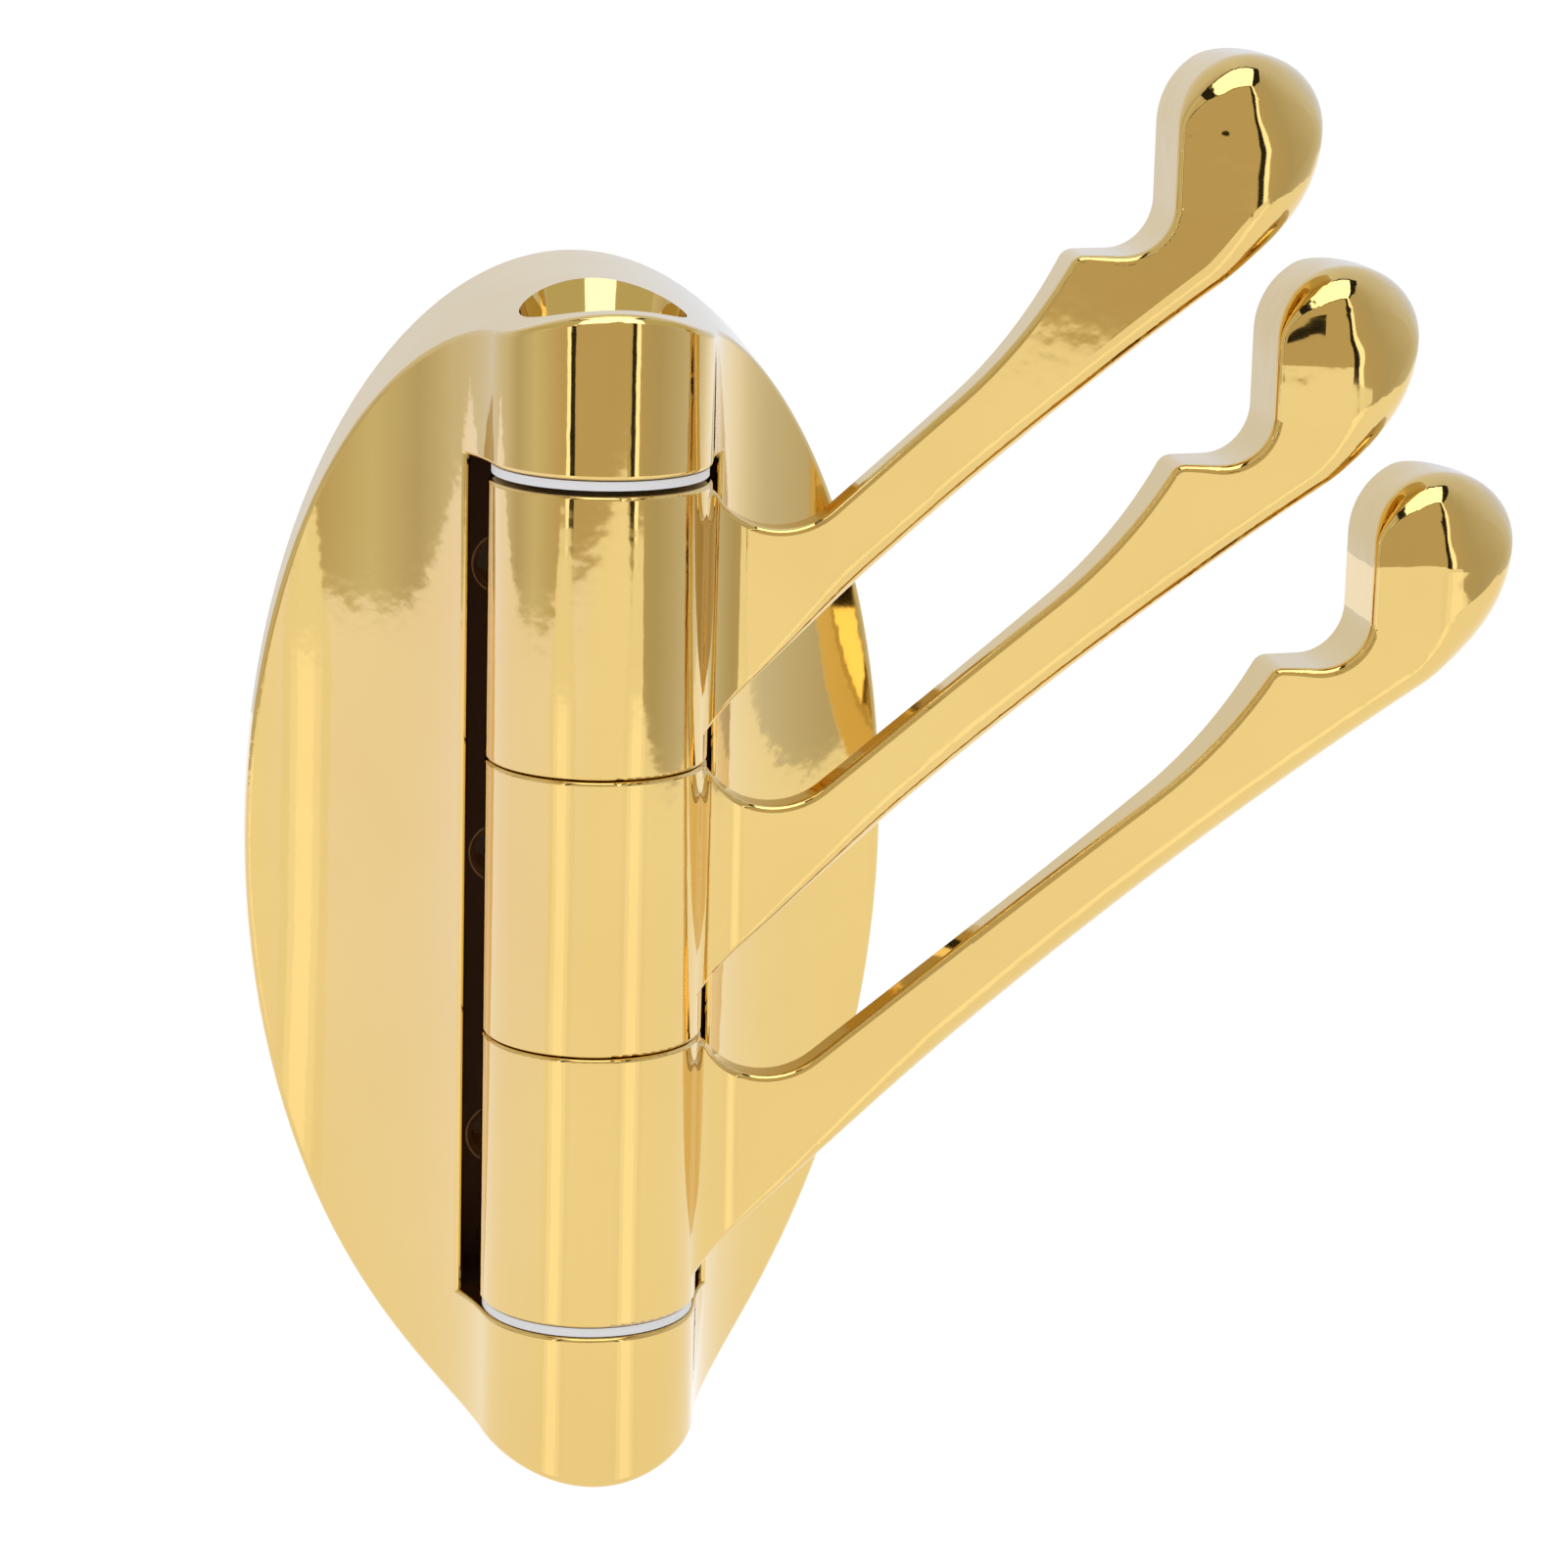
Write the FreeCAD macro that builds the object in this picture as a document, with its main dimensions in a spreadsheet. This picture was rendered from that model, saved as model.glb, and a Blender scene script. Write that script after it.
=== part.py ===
"""Folding wall hook: an oval cast base with three swing arms on one upright pivot bolt.

Frame: the wall is the plane Y = 0, the front is towards -Y, +Z is up, and the origin is the middle of the
base's back face. Millimetres throughout. At rest the three arms are folded to the right, along +X.
"""
import FreeCAD
import Part
import Sketcher
import math
import os

# Driving sizes, in millimetres and degrees.
SIZES = {
    # base casting
    "plate_width": 60.7,
    "plate_edge": 2.1,          # thickness of the rim at its widest point
    "axis_depth": 22.4,         # pivot axis to the wall
    "barrel_radius": 10.0,      # the spine, its lugs and the knuckles, which line up
    "lug_height": 16.05,        # oval above and below the window
    "flank_radius": 27.5,       # hollow curve from the rim to the spine
    "side_draft": 2.7,          # lean of the side wall, degrees
    "window_gap": 1.1,          # beside the knuckles
    "back_wall": 8.0,           # behind the window
    "rim_round": 0.7,
    "window_round": 0.4,
    # pivot bolt and its bores
    "bolt_radius": 4.0,
    "bolt_grip": 6.7,           # length of the bolt in the bottom lug
    "end_clearance": 1.5,       # blind hole past the end of the bolt
    "head_radius": 6.5,
    "head_height": 6.0,
    "head_floor": 4.5,          # top lug under the bolt head
    "head_clearance": 0.25,     # on radius, in the open bore of the top lug
    "mouth_flare": 1.2,         # gained on radius towards the mouth of the open bore
    "mouth_depth": 6.2,
    "hex_across": 6.0,
    "hex_depth": 3.5,
    "turn_clearance": 0.06,     # on radius, between the bolt and what it passes through
    "face_clearance": 0.1,      # between faces that turn on each other
    "top_play": 0.4,            # more over the upper knuckle, because the arms rest on the bottom washer
    # washers
    "washer_inset": 0.3,        # rim of the washer inside the barrel
    "washer_thickness": 0.8,
    "washer_clearance": 0.15,   # on radius, on the bolt
    # wall screws
    "screw_radius": 2.25,
    "screw_countersink": 0.5,
    "screw_offset": 7.0,        # from the centre line
    "screw_spacing": 27.5,
    # knuckles, and the arms where they leave them
    "knuckle_height": 25.4,
    "knuckle_round": 0.35,
    "root_inset": 3.0,          # how far the arm starts inside its knuckle
    "upper_root": 0.5,          # start of each arm's lower edge, over the knuckle's bottom
    "middle_root": 2.0,
    "lower_root": 0.3,
    "lip": 0.6,                 # knuckle top down to the start of the arm's upper edge
    "lip_radius": 1.0,
    "trough_gap": 6.2,          # from the knuckle to the lowest place of the upper edge
    "trough_depth": 4.5,
    "trough_radius": 7.0,
    # arms in side view: sizes of the upper arm and what each next arm adds
    "arm_reach": 50.4,          # pivot axis to the inside of the finger
    "reach_step": 10.0,
    "arm_rise": 20.3,           # knuckle top to the floor of the notch
    "rise_step": 6.7,
    "crest_lift": 2.5,          # peak in front of the notch, over the straight run
    "crest_radius": 45.0,
    "peak_radius": 1.5,
    "notch_flat": 3.1,
    "notch_radius": 4.5,
    "finger_straight": 6.75,
    "tip_radius": 6.75,
    "outer_radius": 13.5,
    "under_radius": 900.0,
    # arms in plan
    "arm_waist": 25.0,          # pivot axis to where the blade starts to widen
    "waist_step": 5.0,
    "waist_half": 1.6,
    "finger_half": 6.0,         # at the middle of the finger, which is crowned
    "crown_radius": 12.0,
    "root_fillet": 5.4,
    # rounding of the arms
    "edge_round": 0.6,
    "inner_round": 0.8,
    "tip_round": 3.8,           # over the top of the finger
    "outer_round": 2.4,         # at the foot of the finger's outside
}

ARMS = ("upper", "middle", "lower")
OVERCUT = 5.0                   # how far a cutting outline runs past the solid
NEAR = 0.01                     # tolerance when edges are picked by their place
START, END, CENTRE = range(1, 4)        # the points of a sketch line or arc
H_AXIS, V_AXIS = range(-1, -3, -1)      # the sketch's own axes
ROOT_POINT = (H_AXIS, START)            # the sketch's origin

doc = FreeCAD.newDocument("folding_wall_hook")
sheet = doc.addObject("Spreadsheet::Sheet", "sizes")
for row, (alias, number) in enumerate(SIZES.items(), start=1):
    sheet.set(f"A{row}", alias)
    sheet.set(f"B{row}", str(number))
    sheet.setAlias(f"B{row}", alias)
doc.recompute()

# Formulas that several pieces share.
WINDOW_HALF_WIDTH = "(sizes.barrel_radius + sizes.window_gap)"
STACK_HEIGHT = "(3 * sizes.knuckle_height + 2 * sizes.washer_thickness + 6 * sizes.face_clearance)"
WINDOW_HEIGHT = f"({STACK_HEIGHT} + sizes.top_play)"
WINDOW_TOP = f"({WINDOW_HEIGHT} / 2)"
PLATE_HEIGHT = f"({WINDOW_HEIGHT} + 2 * sizes.lug_height)"
BASE_DEPTH = "(sizes.axis_depth + sizes.barrel_radius)"
HEAD_SEAT = f"({WINDOW_TOP} + sizes.head_floor)"
BOLT_LENGTH = f"({WINDOW_HEIGHT} + sizes.head_floor + sizes.bolt_grip)"
BOLT_PASSAGE = "(sizes.bolt_radius + sizes.turn_clearance)"
STACK_TOP = f"({WINDOW_TOP} - sizes.washer_thickness - 2 * sizes.face_clearance - sizes.top_play)"
ROOT_X = "(sizes.barrel_radius - sizes.root_inset)"
TROUGH_X = "(sizes.barrel_radius + sizes.trough_gap)"
TROUGH_Y = "(sizes.knuckle_height - sizes.trough_depth + sizes.trough_radius)"
NOTCH_WIDTH = "(sizes.notch_radius + sizes.notch_flat)"
FINGER_HEIGHT = "(sizes.notch_radius + sizes.finger_straight + sizes.tip_radius)"


def value(formula):
    """What a formula on the sheet comes to."""
    return float(sheet.evalExpression(formula))


def size(name):
    """A driving size, read from the sheet."""
    return value("sizes." + name)


def stepped(name, order):
    """Formula of an arm size that grows from the upper arm, order 0, to the lower one."""
    return f"(sizes.arm_{name} + {order} * sizes.{name}_step)"


def notch_floor(order):
    """Formula of the height of an arm's notch over its knuckle's bottom."""
    return f"(sizes.knuckle_height + {stepped('rise', order)})"


def finger_middle(order):
    """Formula of the distance from the pivot axis to the middle of an arm's finger."""
    return f"({stepped('reach', order)} + sizes.tip_radius)"


def polar(centre, radius, angle):
    """The point at this angle, in radians, on a circle."""
    return (centre[0] + radius * math.cos(angle), centre[1] + radius * math.sin(angle))


def towards(start, end, distance):
    """The point this far from start on the line to end."""
    share = distance / math.dist(start, end)
    return (start[0] + share * (end[0] - start[0]), start[1] + share * (end[1] - start[1]))


def circles_meet(first, first_radius, second, second_radius):
    """Where two circles meet: the point on the left of the line from the first centre to the second."""
    apart = math.dist(first, second)
    along = (apart ** 2 + first_radius ** 2 - second_radius ** 2) / (2 * apart)
    aside = math.sqrt(first_radius ** 2 - along ** 2)
    ux, uy = (second[0] - first[0]) / apart, (second[1] - first[1]) / apart
    return (first[0] + along * ux - aside * uy, first[1] + along * uy + aside * ux)


class Outline:
    """A closed sketch outline, drawn end to end from lines and arcs and dimensioned from the sheet."""

    def __init__(self, body, name, plane, offset=None):
        self.sketch = body.newObject("Sketcher::SketchObject", name)
        origin = next(item for item in body.Origin.OriginFeatures if item.Role == plane)
        self.sketch.AttachmentSupport = [(origin, "")]
        self.sketch.MapMode = "FlatFace"
        if offset:
            self.sketch.setExpression("AttachmentOffset.Base.z", offset)
        doc.recompute()

    def line(self, start, end):
        """A line; returns its index with its first and last points."""
        segment = Part.LineSegment(FreeCAD.Vector(*start, 0), FreeCAD.Vector(*end, 0))
        return (self.sketch.addGeometry(segment), START, END)

    def arc(self, centre, start, end, clockwise=False):
        """An arc from start to end; returns its index with its first and last points in that order."""
        first, last = (end, start) if clockwise else (start, end)
        circle = Part.Circle(FreeCAD.Vector(*centre, 0), FreeCAD.Vector(0, 0, 1), math.dist(centre, start))
        angles = [math.atan2(point[1] - centre[1], point[0] - centre[0]) for point in (first, last)]
        if angles[1] <= angles[0]:
            angles[1] += 2 * math.pi
        index = self.sketch.addGeometry(Part.ArcOfCircle(circle, *angles))
        return (index, END, START) if clockwise else (index, START, END)

    def ellipse(self, width, height):
        """An upright ellipse about the sketch's origin."""
        across, upright = FreeCAD.Vector(value(width) / 2, 0, 0), FreeCAD.Vector(0, value(height) / 2, 0)
        index = self.sketch.addGeometry(Part.Ellipse(upright, across, FreeCAD.Vector()))
        self.sketch.exposeInternalGeometry(index)
        long_axis, short_axis = index + 1, index + 2
        self.rule("Coincident", index, CENTRE, *ROOT_POINT)
        self.rule("Vertical", long_axis)
        self.dimension("height", height, "Distance", long_axis)
        self.dimension("width", width, "Distance", short_axis)

    def rule(self, kind, *args):
        """A constraint without a size."""
        self.sketch.addConstraint(Sketcher.Constraint(kind, *args))

    def join(self, before, after, kind="Coincident"):
        """Joins the end of one piece to the start of the next, tangent if asked."""
        self.rule(kind, before[0], before[2], after[0], after[1])

    def smooth(self, *pieces):
        """Joins pieces end to end with no corner."""
        for before, after in zip(pieces, pieces[1:]):
            self.join(before, after, "Tangent")

    def dimension(self, name, formula, kind, *args):
        """A constraint whose size is a formula on the sheet."""
        index = self.sketch.addConstraint(Sketcher.Constraint(kind, *args, value(formula)))
        self.sketch.renameConstraint(index, name)
        self.sketch.setExpression("Constraints." + name, formula)

    def at_x(self, name, formula, piece, point):
        """Fixes a point's distance from the sketch's vertical axis."""
        self.dimension(name, formula, "DistanceX", *ROOT_POINT, piece[0], point)

    def at_y(self, name, formula, piece, point):
        """Fixes a point's height over the sketch's horizontal axis."""
        self.dimension(name, formula, "DistanceY", *ROOT_POINT, piece[0], point)

    def radius(self, name, formula, piece):
        """Fixes an arc's radius."""
        self.dimension(name, formula, "Radius", piece[0])


def polygon(body, name, plane, corners, offset=None):
    """A closed outline of straight lines through corners given as pairs of formulas."""
    outline = Outline(body, name, plane, offset)
    places = [(value(across), value(up)) for across, up in corners]
    lines = [outline.line(*ends) for ends in zip(places, places[1:] + places[:1])]
    for before, after in zip(lines, lines[1:] + lines[:1]):
        outline.join(before, after)
    for corner, piece in enumerate(lines):
        outline.at_x(f"x{corner}", corners[corner][0], piece, START)
        outline.at_y(f"y{corner}", corners[corner][1], piece, START)
    return outline


def new_body(name):
    """An empty body."""
    return doc.addObject("PartDesign::Body", name)


def feature(body, kind, name, outline, **properties):
    """A feature made from a sketch; text values that name the sheet become expressions."""
    item = body.newObject("PartDesign::" + kind, name)
    item.Profile = outline.sketch
    for key, setting in properties.items():
        if isinstance(setting, str) and "sizes." in setting:
            item.setExpression(key, setting)
        else:
            setattr(item, key, setting)
    doc.recompute()
    return item


def turned(body, kind, name, outline, axis="V_Axis"):
    """A revolution or groove right round an axis of its own sketch."""
    return feature(body, kind, name, outline, ReferenceAxis=(outline.sketch, [axis]), Angle=360)


def round_edges(body, before, name, chosen, radius):
    """Rounds the edges of a feature that a test picks out."""
    edges = [f"Edge{index}" for index, edge in enumerate(before.Shape.Edges, start=1) if chosen(edge)]
    item = body.newObject("PartDesign::Fillet", name)
    item.Base = (before, edges)
    item.setExpression("Radius", radius)
    doc.recompute()
    return item


def on_pivot(item, label, height):
    """Names a finished sub-part and sets it on the pivot axis at a height."""
    item.Label = label
    item.setExpression("Placement.Base.y", "-sizes.axis_depth")
    item.setExpression("Placement.Base.z", height)
    return item


def flank_outline(body):
    """What is cut away in front of the base: hollow flanks that run tangent into the round spine."""
    half, edge = size("plate_width") / 2, size("plate_edge")
    spine_centre = (0, -size("axis_depth"))
    spine_radius, flank = size("barrel_radius"), size("flank_radius")
    side, front = half + OVERCUT, -value(BASE_DEPTH) - OVERCUT
    right_centre = circles_meet((half, -edge), flank, spine_centre, spine_radius + flank)
    left_centre = (-right_centre[0], right_centre[1])
    right_joint = towards(spine_centre, right_centre, spine_radius)
    left_joint = (-right_joint[0], right_joint[1])

    outline = Outline(body, "flank_section", "XY_Plane")
    left_ledge = outline.line((-side, -edge), (-half, -edge))
    left_flank = outline.arc(left_centre, (-half, -edge), left_joint, clockwise=True)
    spine = outline.arc(spine_centre, left_joint, right_joint)
    right_flank = outline.arc(right_centre, right_joint, (half, -edge), clockwise=True)
    right_ledge = outline.line((half, -edge), (side, -edge))
    right_side = outline.line((side, -edge), (side, front))
    far_side = outline.line((side, front), (-side, front))
    left_side = outline.line((-side, front), (-side, -edge))
    outline.smooth(left_flank, spine, right_flank)
    corners = (right_flank, right_ledge, right_side, far_side, left_side, left_ledge, left_flank)
    for before, after in zip(corners, corners[1:]):
        outline.join(before, after)
    for piece in (left_ledge, right_ledge, far_side):
        outline.rule("Horizontal", piece[0])
    for piece in (left_side, right_side):
        outline.rule("Vertical", piece[0])
    outline.rule("PointOnObject", spine[0], CENTRE, V_AXIS)
    outline.at_y("axis_depth", "-sizes.axis_depth", spine, CENTRE)
    outline.radius("spine", "sizes.barrel_radius", spine)
    outline.radius("left_flank", "sizes.flank_radius", left_flank)
    outline.radius("right_flank", "sizes.flank_radius", right_flank)
    outline.at_x("right_rim", "sizes.plate_width / 2", right_ledge, START)
    outline.at_y("right_edge", "-sizes.plate_edge", right_ledge, START)
    outline.at_x("left_rim", "-sizes.plate_width / 2", left_ledge, END)
    outline.at_y("left_edge", "-sizes.plate_edge", left_ledge, END)
    outline.at_x("right_limit", f"sizes.plate_width / 2 + {OVERCUT}", right_side, START)
    outline.at_x("left_limit", f"-sizes.plate_width / 2 - {OVERCUT}", left_side, START)
    outline.at_y("front_limit", f"-{BASE_DEPTH} - {OVERCUT}", far_side, START)
    return outline


def screw_hole_outline(body):
    """Half section of the lowest wall-screw hole, with a small countersunk rim, beside its own axis line."""
    centre, radius = "-sizes.screw_offset", "-sizes.screw_offset + sizes.screw_radius"
    rim, seat = f"{radius} + sizes.screw_countersink", "-sizes.back_wall"
    inside = f"{seat} - {OVERCUT}"
    corners = [(centre, "0"), (radius, "0"), (radius, f"{seat} + sizes.screw_countersink"), (rim, seat),
               (rim, inside), (centre, inside)]
    outline = polygon(body, "screw_hole_section", "XY_Plane", corners, "-sizes.screw_spacing")
    axis = outline.line((value(centre), 0), (value(centre), value(inside)))
    outline.sketch.setConstruction(axis[0], True)
    first_line, last_line = 0, len(corners) - 1
    outline.rule("Coincident", axis[0], START, first_line, START)
    outline.rule("Coincident", axis[0], END, last_line, START)
    return outline


def make_base():
    """The oval casting: drafted side wall, hollow flanks, window, pivot bores and wall-screw holes."""
    body = new_body("base_body")
    lean = f"2 * {BASE_DEPTH} * tan(sizes.side_draft * 1 deg)"
    back = Outline(body, "oval_at_the_wall", "XZ_Plane")
    back.ellipse("sizes.plate_width", PLATE_HEIGHT)
    front = Outline(body, "oval_at_the_front", "XZ_Plane", BASE_DEPTH)
    front.ellipse(f"sizes.plate_width - {lean}", f"{PLATE_HEIGHT} - {lean}")
    feature(body, "AdditiveLoft", "oval_block", back, Sections=[front.sketch], Ruled=True)
    flanks = feature(body, "Pocket", "flanks", flank_outline(body), Type="ThroughAll", SideType="Symmetric")

    def off_the_wall(edge):
        """The edges where the flanks and the spine meet the side wall."""
        return edge.BoundBox.YMax < -size("plate_edge") / 2

    round_edges(body, flanks, "rim_round", off_the_wall, "sizes.rim_round")
    corners = [(f"-{WINDOW_HALF_WIDTH}", f"-{WINDOW_TOP}"), (WINDOW_HALF_WIDTH, f"-{WINDOW_TOP}"),
               (WINDOW_HALF_WIDTH, WINDOW_TOP), (f"-{WINDOW_HALF_WIDTH}", WINDOW_TOP)]
    opening = polygon(body, "window_outline", "XZ_Plane", corners, BASE_DEPTH)
    window = feature(body, "Pocket", "window", opening, Length=f"{BASE_DEPTH} - sizes.back_wall")

    def around_window(edge):
        """The window's edges on the flanks and the lugs."""
        box = edge.BoundBox
        level = box.ZLength < NEAR and abs(abs(box.ZMin) - value(WINDOW_TOP)) < NEAR
        upright = box.XLength < NEAR and abs(abs(box.XMin) - value(WINDOW_HALF_WIDTH)) < NEAR
        return box.YMax < -size("back_wall") - NEAR and (level or upright)

    round_edges(body, window, "window_round", around_window, "sizes.window_round")
    hole_end = f"{HEAD_SEAT} - {BOLT_LENGTH} - sizes.end_clearance"
    open_bore, lug_top = "sizes.head_radius + sizes.head_clearance", f"{PLATE_HEIGHT} / 2"
    corners = [("0", hole_end), (BOLT_PASSAGE, hole_end), (BOLT_PASSAGE, HEAD_SEAT), (open_bore, HEAD_SEAT),
               (open_bore, f"{lug_top} - sizes.mouth_depth"), (f"{open_bore} + sizes.mouth_flare", lug_top),
               ("0", lug_top)]
    bore_section = polygon(body, "bore_section", "XZ_Plane", corners, "sizes.axis_depth")
    turned(body, "Groove", "pivot_bores", bore_section)

    hole_section = screw_hole_outline(body)
    screw_hole = turned(body, "Groove", "screw_hole", hole_section, "Axis0")
    holes = body.newObject("PartDesign::LinearPattern", "screw_holes")
    holes.Originals = [screw_hole]
    holes.Direction = (hole_section.sketch, ["N_Axis"])
    holes.Occurrences = 3
    holes.setExpression("Length", "2 * sizes.screw_spacing")
    body.Tip = holes
    body.Label = "base"
    doc.recompute()
    return body


def side_outline(body, order):
    """Side view of an arm: root, trough, straight run, crest, notch, finger and the long lower edge."""
    reach, floor = value(stepped("reach", order)), value(notch_floor(order))
    root = (value(ROOT_X), size(ARMS[order] + "_root"))
    lip = size("knuckle_height") - size("lip")
    lip_radius, trough_radius, crest = size("lip_radius"), size("trough_radius"), size("crest_radius")
    peak, notch, tip = size("peak_radius"), size("notch_radius"), size("tip_radius")
    outer, under = size("outer_radius"), size("under_radius")

    trough = (value(TROUGH_X), value(TROUGH_Y))
    lip_drop = trough[1] - lip + lip_radius
    lip_end = (trough[0] - math.sqrt((trough_radius + lip_radius) ** 2 - lip_drop ** 2), lip)
    lip_centre = (lip_end[0], lip - lip_radius)
    trough_start = towards(lip_centre, trough, lip_radius)
    peak_top = (reach - value(NOTCH_WIDTH), floor)
    peak_centre = (peak_top[0], floor - peak)
    bearing = math.atan2(peak_top[1] - trough[1], peak_top[0] - trough[0])
    slope = bearing + math.asin((trough_radius - size("crest_lift")) / math.dist(trough, peak_top))
    run_start = polar(trough, trough_radius, slope - math.pi / 2)
    crest_base = polar(run_start, crest, slope + math.pi / 2)
    offset = (peak_centre[0] - crest_base[0], peak_centre[1] - crest_base[1])
    ahead = offset[0] * math.cos(slope) + offset[1] * math.sin(slope)
    aside = offset[0] * math.sin(slope) - offset[1] * math.cos(slope)
    run = ahead - math.sqrt((crest + peak) ** 2 - aside ** 2)
    run_end = polar(run_start, run, slope)
    crest_centre = polar(crest_base, run, slope)
    crest_end = towards(crest_centre, peak_centre, crest)
    tip_centre = (reach + tip, floor + value(FINGER_HEIGHT) - tip)
    tip_top = (tip_centre[0], tip_centre[1] + tip)
    tip_end = (reach + 2 * tip, tip_centre[1])
    outer_centre = (tip_end[0] - outer, tip_centre[1])
    under_centre = circles_meet(outer_centre, outer + under, root, under)
    under_start = towards(outer_centre, under_centre, outer)

    outline = Outline(body, ARMS[order] + "_side", "XZ_Plane")
    heel = outline.line(root, (root[0], lip))
    lip_line = outline.line((root[0], lip), lip_end)
    lip_arc = outline.arc(lip_centre, lip_end, trough_start, clockwise=True)
    trough_arc = outline.arc(trough, trough_start, run_start)
    run_line = outline.line(run_start, run_end)
    crest_arc = outline.arc(crest_centre, run_end, crest_end)
    peak_arc = outline.arc(peak_centre, crest_end, peak_top, clockwise=True)
    floor_line = outline.line(peak_top, (reach - notch, floor))
    notch_arc = outline.arc((reach - notch, floor + notch), (reach - notch, floor), (reach, floor + notch))
    inner_line = outline.line((reach, floor + notch), (reach, tip_centre[1]))
    rising_tip = outline.arc(tip_centre, (reach, tip_centre[1]), tip_top, clockwise=True)
    falling_tip = outline.arc(tip_centre, tip_top, tip_end, clockwise=True)
    outer_arc = outline.arc(outer_centre, tip_end, under_start, clockwise=True)
    under_arc = outline.arc(under_centre, under_start, root)
    outline.join(under_arc, heel)
    outline.join(heel, lip_line)
    outline.smooth(lip_line, lip_arc, trough_arc, run_line, crest_arc, peak_arc, floor_line, notch_arc,
                   inner_line, rising_tip, falling_tip, outer_arc, under_arc)
    for piece in (heel, inner_line):
        outline.rule("Vertical", piece[0])
    for piece in (lip_line, floor_line):
        outline.rule("Horizontal", piece[0])
    outline.rule("Equal", rising_tip[0], falling_tip[0])
    outline.rule("Vertical", rising_tip[0], CENTRE, rising_tip[0], rising_tip[2])
    outline.rule("Horizontal", falling_tip[0], CENTRE, falling_tip[0], falling_tip[2])

    outline.at_x("root_x", ROOT_X, heel, START)
    outline.at_y("root_y", f"sizes.{ARMS[order]}_root", heel, START)
    outline.at_y("lip", "sizes.knuckle_height - sizes.lip", heel, END)
    outline.radius("lip_bend", "sizes.lip_radius", lip_arc)
    outline.radius("trough", "sizes.trough_radius", trough_arc)
    outline.at_x("trough_x", TROUGH_X, trough_arc, CENTRE)
    outline.at_y("trough_y", TROUGH_Y, trough_arc, CENTRE)
    outline.dimension("lift", "sizes.crest_lift", "Distance", floor_line[0], START, run_line[0])
    outline.radius("crest", "sizes.crest_radius", crest_arc)
    outline.radius("peak", "sizes.peak_radius", peak_arc)
    outline.at_x("peak_x", f"{stepped('reach', order)} - {NOTCH_WIDTH}", floor_line, START)
    outline.at_y("floor", notch_floor(order), floor_line, START)
    outline.radius("notch", "sizes.notch_radius", notch_arc)
    outline.at_x("reach", stepped("reach", order), inner_line, START)
    outline.radius("tip", "sizes.tip_radius", rising_tip)
    outline.at_y("tip_y", f"{notch_floor(order)} + {FINGER_HEIGHT} - sizes.tip_radius", rising_tip, CENTRE)
    outline.radius("outer", "sizes.outer_radius", outer_arc)
    outline.radius("under", "sizes.under_radius", under_arc)
    return outline


def plan_outline(body, order):
    """Half plan of an arm: knuckle, root fillet, slim waist and the crowned side of the finger."""
    knuckle, fillet = size("barrel_radius"), size("root_fillet")
    slim, half, crown = size("waist_half"), size("finger_half"), size("crown_radius")
    waist_x, middle_x = value(stepped("waist", order)), value(finger_middle(order))
    fillet_centre = (math.sqrt((knuckle + fillet) ** 2 - (slim + fillet) ** 2), slim + fillet)
    fillet_start = towards((0, 0), fillet_centre, knuckle)
    fillet_end = (fillet_centre[0], slim)
    crown_centre = (middle_x, half - crown)
    run, lift = middle_x - waist_x, slim - crown_centre[1]
    bend = (run ** 2 + lift ** 2 - crown ** 2) / (2 * (crown - lift))
    waist_centre = (waist_x, slim + bend)
    crown_start = towards(crown_centre, waist_centre, crown)
    crown_end = (middle_x + math.sqrt(crown ** 2 - crown_centre[1] ** 2), 0)

    outline = Outline(body, ARMS[order] + "_plan", "XY_Plane")
    knuckle_arc = outline.arc((0, 0), (-knuckle, 0), fillet_start, clockwise=True)
    fillet_arc = outline.arc(fillet_centre, fillet_start, fillet_end)
    slim_line = outline.line(fillet_end, (waist_x, slim))
    waist_arc = outline.arc(waist_centre, (waist_x, slim), crown_start)
    crown_arc = outline.arc(crown_centre, crown_start, crown_end, clockwise=True)
    middle_line = outline.line(crown_end, (-knuckle, 0))
    outline.smooth(knuckle_arc, fillet_arc, slim_line, waist_arc, crown_arc)
    outline.join(crown_arc, middle_line)
    outline.join(middle_line, knuckle_arc)
    outline.rule("Coincident", knuckle_arc[0], CENTRE, *ROOT_POINT)
    outline.rule("PointOnObject", middle_line[0], START, H_AXIS)
    outline.rule("PointOnObject", middle_line[0], END, H_AXIS)
    outline.rule("Horizontal", slim_line[0])

    outline.radius("knuckle", "sizes.barrel_radius", knuckle_arc)
    outline.radius("fillet", "sizes.root_fillet", fillet_arc)
    outline.at_x("waist_x", stepped("waist", order), slim_line, END)
    outline.at_y("waist_y", "sizes.waist_half", slim_line, END)
    outline.at_x("middle_x", finger_middle(order), crown_arc, CENTRE)
    outline.at_y("crown_y", "sizes.finger_half - sizes.crown_radius", crown_arc, CENTRE)
    outline.radius("crown", "sizes.crown_radius", crown_arc)
    return outline


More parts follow.
